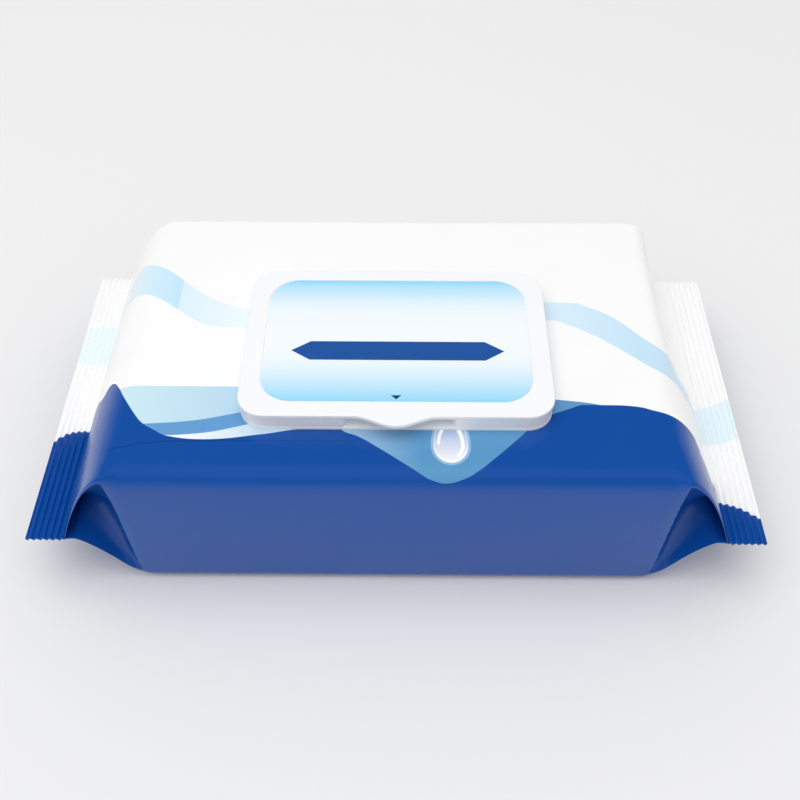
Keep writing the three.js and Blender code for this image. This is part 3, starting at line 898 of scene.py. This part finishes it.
def lid_label_material(colours):
    """Sky blue at the front and rear edges fading to white, with a blue bar and a small arrow."""
    material, nodes, shader = new_material("lid_label")
    x, y, _ = nodes.split(nodes.add("ShaderNodeTexCoord", output="Object"))
    x = nodes.over(x, MM)
    y = nodes.over(nodes.minus(y, CLOSURE_Y), MM)
    ground = nodes.blend(nodes.curve(y, LABEL_FADE), colours.label_white, colours.label_sky)
    crisp = 0.1
    bar_middle, bar_half_length, bar_half_height, bar_slant = (0.3, -5.25), 34.9, 4.2, 1.5
    up = nodes.apart(y, bar_middle[1])
    out = nodes.plus(nodes.apart(x, bar_middle[0]), nodes.times(up, bar_slant))
    within_height = nodes.short(up, bar_half_height, crisp)
    pointed_bar = nodes.both(within_height, nodes.short(out, bar_half_length, crisp))
    ground = nodes.blend(pointed_bar, ground, colours.label_bar)
    arrow_tip, arrow_top = -26.3, -24.6
    past_side = nodes.minus(nodes.math("ABSOLUTE", x), nodes.minus(y, arrow_tip))
    arrow = nodes.both(nodes.short(past_side, 0.0, crisp), nodes.short(y, arrow_top, crisp))
    ground = nodes.blend(arrow, ground, colours.label_arrow)
    nodes.set(shader.inputs["Base Color"], ground)
    vary_roughness(nodes, shader, 80.0, 0.26, 0.34)
    return material


# Geometry Nodes

WAVE_SEED = 4.0
WAVE_EASE = 9 * MM  # the waves grow over this distance from where the film is held still
WAVE_LOW, WAVE_HIGH = 2 * MM, 14 * MM  # they grow between these heights above the floor
WAVE_FADE, WAVE_END = 17 * MM, 7 * MM  # and fade between these distances from the ridges
SLACK_FROM, SLACK_TO, SLACK = 70 * MM, 92 * MM, 1.9  # they are this much higher on the shoulders


def film_tree():
    """A tree that presses ridges into the welded ends and lets the rest of the film wave gently.

    The film stays still under the closure and where it rests on the floor.
    """
    tree = bpy.data.node_groups.new("film_relief", "GeometryNodeTree")
    face = tree.interface
    face.new_socket("Film", in_out="INPUT", socket_type="NodeSocketGeometry")
    floats = ("Seal start", "Seal width", "Ridge height", "Ridges", "Wave height", "Wave size", "Seed")
    for name in (*floats, "Still length", "Still front", "Still rear"):
        face.new_socket(name, in_out="INPUT", socket_type="NodeSocketFloat")
    face.new_socket("Material", in_out="INPUT", socket_type="NodeSocketMaterial")
    face.new_socket("Film", in_out="OUTPUT", socket_type="NodeSocketGeometry")
    nodes = Nodes(tree)
    given = tree.nodes.new("NodeGroupInput").outputs
    seal = given["Seal start"]
    spot = nodes.add("GeometryNodeInputPosition")
    x, y, z = nodes.split(spot)
    x = nodes.math("ABSOLUTE", x)

    past = nodes.over(nodes.minus(x, seal), given["Seal width"])
    turns = nodes.times(nodes.times(past, given["Ridges"]), 2 * math.pi)
    wave = nodes.times(nodes.math("SINE", turns), given["Ridge height"])
    ridge = nodes.times(wave, nodes.math("GREATER_THAN", past, 0.0))
    lift = nodes.add("ShaderNodeCombineXYZ", {"Z": ridge})

    beyond_ends = nodes.minus(x, given["Still length"])
    beyond_sides = nodes.most(nodes.minus(given["Still front"], y), nodes.minus(y, given["Still rear"]))
    free = nodes.map(nodes.most(beyond_ends, beyond_sides), 0.0, WAVE_EASE, smooth=True)
    above = nodes.map(z, WAVE_LOW, WAVE_HIGH, smooth=True)
    fade, end = nodes.minus(seal, WAVE_FADE), nodes.minus(seal, WAVE_END)
    before_seal = nodes.map(x, fade, end, 1.0, 0.0, smooth=True)
    shoulder = nodes.map(x, SLACK_FROM, SLACK_TO, 1.0, SLACK, smooth=True)
    scale = nodes.over(1.0, given["Wave size"])
    inputs = {"Vector": spot, "W": given["Seed"], "Scale": scale, "Detail": 1.5, "Roughness": 0.4}
    noise = nodes.add("ShaderNodeTexNoise", inputs, noise_dimensions="4D")
    swing = nodes.map(noise, 0.25, 0.75, -1.0, 1.0)
    height = nodes.both(swing, given["Wave height"], free, above, before_seal, shoulder)
    normal = nodes.add("GeometryNodeInputNormal")
    sway = nodes.add("ShaderNodeVectorMath", {0: normal, "Scale": height}, operation="SCALE")
    offset = nodes.add("ShaderNodeVectorMath", {0: lift, 1: sway}, operation="ADD")

    pressed = nodes.add("GeometryNodeSetPosition", {"Geometry": given["Film"], "Offset": offset})
    real = nodes.add("GeometryNodeRealizeInstances", {"Geometry": pressed})
    done = nodes.add("GeometryNodeSetMaterial", {"Geometry": real, "Material": given["Material"]})
    tree.links.new(done, tree.nodes.new("NodeGroupOutput").inputs["Film"])
    return tree


def run_tree(piece, tree, values):
    """Sets the tree's inputs by their identifiers, and keeps its result as the piece's plain mesh."""
    modifier = piece.modifiers.new(tree.name, "NODES")
    modifier.node_group = tree
    for socket in tree.interface.items_tree:
        if socket.in_out == "INPUT" and socket.name in values:
            modifier[socket.identifier] = values[socket.name]
    bpy.context.view_layer.update()
    evaluated = piece.evaluated_get(bpy.context.evaluated_depsgraph_get())
    made = bpy.data.meshes.new_from_object(evaluated)
    piece.modifiers.clear()
    piece.data = made


# Closure


class Closure:
    """Families of outlines of the closure, each for an inset from its own edge."""

    def __init__(self, size):
        self.size = size
        self.half_x = FRAME_BOX[1].x + size.frame_inset
        self.half_y = (FRAME_BOX[1].y - FRAME_BOX[0].y) / 2 + size.frame_inset
        self.floor_top = FILM_TOP + size.flange_thickness
        self.lid_bottom = LID_TOP - size.lid_thickness
        self.scoop_back = CLOSURE_Y - self.half_y + size.frame_inset + size.scoop_depth

    def edge(self, inset, front=None):
        """The lid's edge without its tab."""
        corner = self.size.lid_corner - inset
        return outline(self.half_x - inset, self.half_y - inset, corner, CLOSURE_Y, front)

    def lid(self, inset):
        """The lid's edge, with the thumb tab."""
        width, reach = self.size.tab_width, self.size.tab_reach

        def bell(x):
            return -reach * np.cos(np.clip(x / width, -0.5, 0.5) * math.pi) ** 2

        return self.edge(inset, bell)

    def wall(self, inset):
        """The frame's wall, with the finger scoop."""
        size = self.size
        half = size.scoop_width / 2 + inset - size.frame_inset

        def scoop(x):
            away = np.abs(x - size.scoop_shift)
            return size.scoop_depth * (1 - ease(away, half - size.scoop_cheek, half))

        return self.edge(inset, scoop)

    def slot(self, inset):
        """The dispensing opening."""
        half_x = self.size.opening_width / 2 - inset
        half_y = self.size.opening_depth / 2 - inset
        return outline(half_x, half_y, half_y, CLOSURE_Y)

    def peel(self, inset):
        """The peel label, with its pull tab in front."""
        size = self.size
        half_x = size.opening_width / 2 - size.peel_side - inset
        half_y = size.opening_depth / 2 - size.peel_front - inset
        reach = size.peel_front - size.pull_tab_gap
        near = size.pull_tab_width / 2
        cheek = 1.6 * MM

        def tab(x):
            return -reach * (1 - ease(np.abs(x), near - cheek, near))

        return outline(half_x, half_y, half_y, CLOSURE_Y, tab)

    def label(self, inset):
        """The printed label on the lid."""
        low, high = LID_LABEL_BOX
        half_x, half_y = high.x - inset, (high.y - low.y) / 2 - inset
        return outline(half_x, half_y, self.size.label_corner - inset, (low.y + high.y) / 2)

    def recess(self, inset):
        """The recess in the lid that the label lies in."""
        return self.label(inset - self.size.label_clearance)


def frame_shell(closure):
    """Flange, outer wall with its finger scoop, and the lip round the opening, in one closed skin."""
    size = closure.size
    bottom, floor = FILM_TOP + GAP, closure.floor_top
    lip_top = FILM_TOP + size.lip_height
    half_lip = size.lip_wall / 2
    inset, rim = size.frame_inset, size.rim_round
    flange_round, wall_step = 0.1 * MM, 0.12 * MM
    outer = inset + wall_step
    inner = inset + size.frame_wall
    flange = [
        (inset, bottom),
        *arc((inset, floor - flange_round), (inset + flange_round, floor), True, 3),
    ]
    wall = [
        (outer, floor),
        *arc((outer, FRAME_TOP - rim), (outer + rim, FRAME_TOP), True),
        *arc((inner - rim, FRAME_TOP), (inner, FRAME_TOP - rim), False),
        *arc((inner, floor + rim), (inner + rim, floor), True, 4),
        (inner + rim + HOLD, floor),
    ]
    lip = [
        (-size.lip_wall - rim - HOLD, floor),
        *arc((-size.lip_wall - rim, floor), (-size.lip_wall, floor + rim), False, 4),
        *arc((-size.lip_wall, lip_top - half_lip), (-half_lip, lip_top), True),
        *arc((-half_lip, lip_top), (0.0, lip_top - half_lip), False)[1:],
        (0.0, bottom),
    ]
    rings = rings_along(flange, closure.edge)
    rings += rings_along(wall, closure.wall)
    rings += rings_along([(size.floor_step, floor)], closure.edge)
    rings += rings_along(lip, closure.slot)
    return shell(rings, closed=True)


def catch_bar(closure):
    """The catch on the inner side of the scoop's wall."""
    size = closure.size
    wall = closure.scoop_back + size.frame_wall
    low = FRAME_TOP - size.catch_height
    profile = [
        (wall - ROOT, low),
        (wall + size.catch_reach, low + 0.05 * MM),
        (wall + size.catch_reach, low + size.catch_height / 2),
        (wall - ROOT, FRAME_TOP - 0.1 * MM),
    ]
    return bar(profile, size.catch_width / 2)


def lid_shell(closure):
    """The lid's plate with its thumb tab and the recess for the label, all edges rounded."""
    size = closure.size
    bottom = closure.lid_bottom
    recess_floor = LID_LABEL_BOX[0].z
    low_round, recess_round, recess_slant = 0.25 * MM, 0.15 * MM, 0.05 * MM
    plate = [
        (5 * MM, bottom),
        *arc((low_round, bottom), (0.0, bottom + low_round), False, 4),
        *arc((0.0, LID_TOP - size.lid_round), (size.lid_round, LID_TOP), True, 8),
        (size.lid_round + HOLD, LID_TOP),
    ]
    recess = [
        (-recess_round - HOLD, LID_TOP),
        *arc((-recess_round, LID_TOP), (0.0, LID_TOP - recess_round), False, 4),
        (0.0, recess_floor + recess_slant),
        (1 * MM, recess_floor),
    ]
    return shell(rings_along(plate, closure.lid) + rings_along(recess, closure.recess))


def sealing_ring(closure):
    """Ring under the lid that closes over the lip."""
    size = closure.size
    inner = -size.lip_wall - size.ring_clearance
    outer = inner - size.ring_wall
    root, tip = closure.lid_bottom + ROOT, closure.lid_bottom - size.ring_drop
    path = [
        (inner - BLUNT, tip),
        *arc((outer + BLUNT, tip), (outer, tip + BLUNT), False, 4),
        (outer, root),
        (inner, root),
        (inner, tip + BLUNT),
    ]
    return shell(rings_along(path, closure.slot), closed=True)


def rib(closure, side):
    """A locating rib under the lid, on its left (-1) or right (1)."""
    size = closure.size
    x = side * (closure.half_x - size.frame_inset - size.frame_wall - size.rib_clearance - size.rib_wall / 2)
    front, rear = CLOSURE_Y - size.rib_length / 2, CLOSURE_Y + size.rib_length / 2
    root, tip = closure.lid_bottom + ROOT, closure.lid_bottom - size.rib_drop
    profile = [
        (front, root),
        (front, tip + BLUNT),
        (front + BLUNT, tip),
        (rear - BLUNT, tip),
        (rear, tip + BLUNT),
        (rear, root),
    ]
    return bar(profile, size.rib_wall / 2, x)


def latch_bar(closure):
    """The latch under the lid, with a hook that snaps in under the catch."""
    size = closure.size
    front = closure.scoop_back + size.frame_wall + size.latch_clearance
    rear = front + size.latch_wall
    hook_play, hook_slant, hook_height = 0.25 * MM, 0.1 * MM, 0.6 * MM
    hook = FRAME_TOP - size.catch_height - hook_play
    root, tip = closure.lid_bottom + ROOT, closure.lid_bottom - size.latch_drop
    slant = 0.15 * MM
    profile = [
        (front + slant, tip),
        (rear - slant, tip),
        (rear, tip + slant),
        (rear, root),
        (front, root),
        (front, hook),
        (front - size.catch_reach, hook - hook_slant),
        (front - size.catch_reach, hook - hook_height),
    ]
    return bar(profile, size.latch_width / 2)


def hinge_web(size):
    """The living hinge's thin web, folded round in a half ring while the lid is shut."""
    y, z = HINGE_AXIS.y, HINGE_AXIS.z
    turn = np.linspace(-math.pi / 2, math.pi / 2, WEB_STEPS + 1)
    inner, outer = size.hinge_bend, size.hinge_bend + size.hinge_web
    far = y - inner - size.frame_inset
    profile = [(far, z - outer)]
    profile += [(y + outer * math.cos(t), z + outer * math.sin(t)) for t in turn]
    profile += [(y - inner, z + outer), (y - inner, z + inner)]
    profile += [(y + inner * math.cos(t), z + inner * math.sin(t)) for t in turn[::-1]]
    profile += [(far, z - inner)]
    return bar(profile, size.hinge_width / 2)


def thin_label(family, level, thickness):
    """A thin label with a softly rounded upper edge."""
    soft, inwards = 0.08 * MM, 3 * MM
    top = level + thickness
    path = [(inwards, level), (0.0, level), *arc((0.0, top - soft), (soft, top), True, 3), (inwards, top)]
    return shell(rings_along(path, family))


class WIPES_OT_film(bpy.types.Operator):
    """Build the printed film pouch with its tucked gussets, crimped ends and folded back seam"""

    bl_idname = "wipes.film"
    bl_label = "Film pouch"

    def execute(self, context):
        size = context.scene.wipes_film
        points, along, around = film_grid(size)
        rows, count = points.shape[:2]
        inks = context.scene.wipes_film_colours
        material = film_material(inks)
        piece = mesh_object("film_pouch", points.reshape(-1, 3), film_faces(rows, count), material)
        lay_film_map(piece.data, along, around, rows)
        values = {
            "Seal start": PACK_HALF_LENGTH - size.crimp_width,
            "Seal width": size.crimp_width,
            "Ridge height": size.ridge_height,
            "Ridges": float(size.ridge_count),
            "Wave height": size.rumple,
            "Wave size": size.rumple_size,
            "Seed": WAVE_SEED,
            "Still length": FRAME_BOX[1].x + MM,
            "Still front": FRAME_BOX[0].y - MM,
            "Still rear": FRAME_BOX[1].y + MM,
            "Material": material,
        }
        run_tree(piece, film_tree(), values)
        seat(piece, "pack", "printed_film", "pouch")
        strip = mesh_object("back_seam", *seam_strip(size), plain_film_material(inks))
        seat(strip, "pack", "printed_film", "pouch")
        return {"FINISHED"}


class WIPES_OT_frame(bpy.types.Operator):
    """Build the closure's frame with its wall, lip and catch, and the peel label inside it"""

    bl_idname = "wipes.frame"
    bl_label = "Closure frame"

    def execute(self, context):
        closure = Closure(context.scene.wipes_closure)
        colours = context.scene.wipes_closure_colours
        body = joined(frame_shell(closure), catch_bar(closure))
        moulding = mesh_object("frame_moulding", *body, plastic_material(colours))
        seat(moulding, "pack", "closure_plastic", "closure_frame")
        low, high = SEAL_LABEL_BOX
        label = thin_label(closure.peel, low.z + GAP, high.z - low.z)
        seat(mesh_object("peel_label", *label, peel_material(colours)), "pack", "peel_label", "seal_label")
        return {"FINISHED"}


class WIPES_OT_lid(bpy.types.Operator):
    """Build the lid with its sealing ring, ribs and latch, and the printed label on top"""

    bl_idname = "wipes.lid"
    bl_label = "Lid"

    def execute(self, context):
        size = context.scene.wipes_closure
        closure = Closure(size)
        colours = context.scene.wipes_closure_colours
        ribs = (rib(closure, -1), rib(closure, 1))
        body = joined(lid_shell(closure), sealing_ring(closure), *ribs, latch_bar(closure))
        moulding = mesh_object("lid_moulding", *body, plastic_material(colours))
        seat(moulding, "lid", "closure_plastic", "closure_lid")
        label = thin_label(closure.label, LID_LABEL_BOX[0].z + GAP, size.label_thickness)
        sticker = mesh_object("lid_print", *label, lid_label_material(colours))
        seat(sticker, "lid", "lid_label_print", "lid_label")
        return {"FINISHED"}


class WIPES_OT_hinge(bpy.types.Operator):
    """Build the living hinge's web between the frame and the lid"""

    bl_idname = "wipes.hinge"
    bl_label = "Living hinge"

    def execute(self, context):
        size = context.scene.wipes_closure
        plastic = plastic_material(context.scene.wipes_closure_colours)
        web = mesh_object("hinge_web", *hinge_web(size), plastic)
        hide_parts("living_hinge")
        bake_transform(web)
        return {"FINISHED"}


class WIPES_OT_stage(bpy.types.Operator):
    """Set up the pale floor, the soft studio light and the camera"""

    bl_idname = "wipes.stage"
    bl_label = "Stage"

    def execute(self, context):
        scene = context.scene
        size = scene.wipes_stage
        scene.view_settings.view_transform = "Standard"
        scene.camera = self.camera(size)
        scene.collection.objects.link(scene.camera)
        scene.collection.objects.link(self.lamp(size))
        scene.world = self.surroundings(size)
        self.floor(size)
        return {"FINISHED"}

    def camera(self, size):
        camera = bpy.data.cameras.new("camera")
        camera.lens = size.focal_length
        camera.sensor_width = 36
        camera.clip_start = 0.01
        camera.clip_end = 50
        eye = bpy.data.objects.new("camera", camera)
        eye.location = size.camera_place
        eye.rotation_euler = (math.pi / 2 - size.pitch, 0, size.turn)
        return eye

    def floor(self, size):
        """A wide pale sheet just under the pack."""
        material, nodes, shader = new_material("floor", Roughness=0.9, Specular_IOR_Level=0.2)
        shade = size.floor_shade
        mottle(nodes, shader, 2.0, (shade, shade, shade), (shade, shade, shade * 1.01))
        reach, level = 6.0, -0.2 * MM
        corners = [(x * reach, y * reach, level) for x, y in ((-1, -1), (1, -1), (1, 1), (-1, 1))]
        return mesh_object("floor", corners, [(0, 1, 2, 3)], material)

    def lamp(self, size):
        lamp = bpy.data.lights.new("key", "AREA")
        lamp.energy = size.lamp_power
        lamp.size = size.lamp_size
        key = bpy.data.objects.new("key", lamp)
        key.location = size.lamp_place
        key.visible_glossy = False
        key.rotation_euler = (-Vector(size.lamp_place)).to_track_quat("-Z", "Y").to_euler()
        return key

    def surroundings(self, size):
        """Even soft light, and for reflections a bright horizon with a darker room overhead."""
        world = bpy.data.worlds.new("studio")
        world.use_nodes = True
        nodes = Nodes(world.node_tree)
        is_glossy = nodes.add("ShaderNodeLightPath", output="Is Glossy Ray")
        up = nodes.split(nodes.add("ShaderNodeTexCoord", output="Generated"))["Z"]
        mirrored = nodes.map(up, 0.15, 0.5, size.horizon_light, size.overhead_light, smooth=True)
        diffuse = nodes.times(size.soft_light, nodes.without(is_glossy))
        background = world.node_tree.nodes["Background"]
        background.inputs["Color"].default_value = (1, 1, 1, 1)
        nodes.set(background.inputs["Strength"], nodes.plus(diffuse, nodes.times(mirrored, is_glossy)))
        return world


class WIPES_PT_panel(bpy.types.Panel):
    """Lists the pack's pieces"""

    bl_label = "Wipes pack"
    bl_idname = "WIPES_PT_panel"
    bl_space_type = "VIEW_3D"
    bl_region_type = "UI"
    bl_category = "Wipes pack"

    def draw(self, context):
        for operator in OPERATORS:
            self.layout.operator(operator.bl_idname)


GROUPS = {
    "wipes_film": FilmSizes,
    "wipes_film_colours": FilmColours,
    "wipes_closure": ClosureSizes,
    "wipes_closure_colours": ClosureColours,
    "wipes_stage": StageSizes,
}
OPERATORS = (WIPES_OT_stage, WIPES_OT_film, WIPES_OT_frame, WIPES_OT_lid, WIPES_OT_hinge)


def register():
    for kind in (*GROUPS.values(), *OPERATORS, WIPES_PT_panel):
        bpy.utils.register_class(kind)
    for name, kind in GROUPS.items():
        setattr(bpy.types.Scene, name, PointerProperty(type=kind))


def unregister():
    for name in GROUPS:
        delattr(bpy.types.Scene, name)
    for kind in (WIPES_PT_panel, *OPERATORS, *reversed(GROUPS.values())):
        bpy.utils.unregister_class(kind)


def main():
    register()
    bpy.ops.wipes.stage()
    bpy.ops.wipes.film()
    bpy.ops.wipes.frame()
    bpy.ops.wipes.lid()
    bpy.ops.wipes.hinge()


if __name__ == "__main__":
    main()
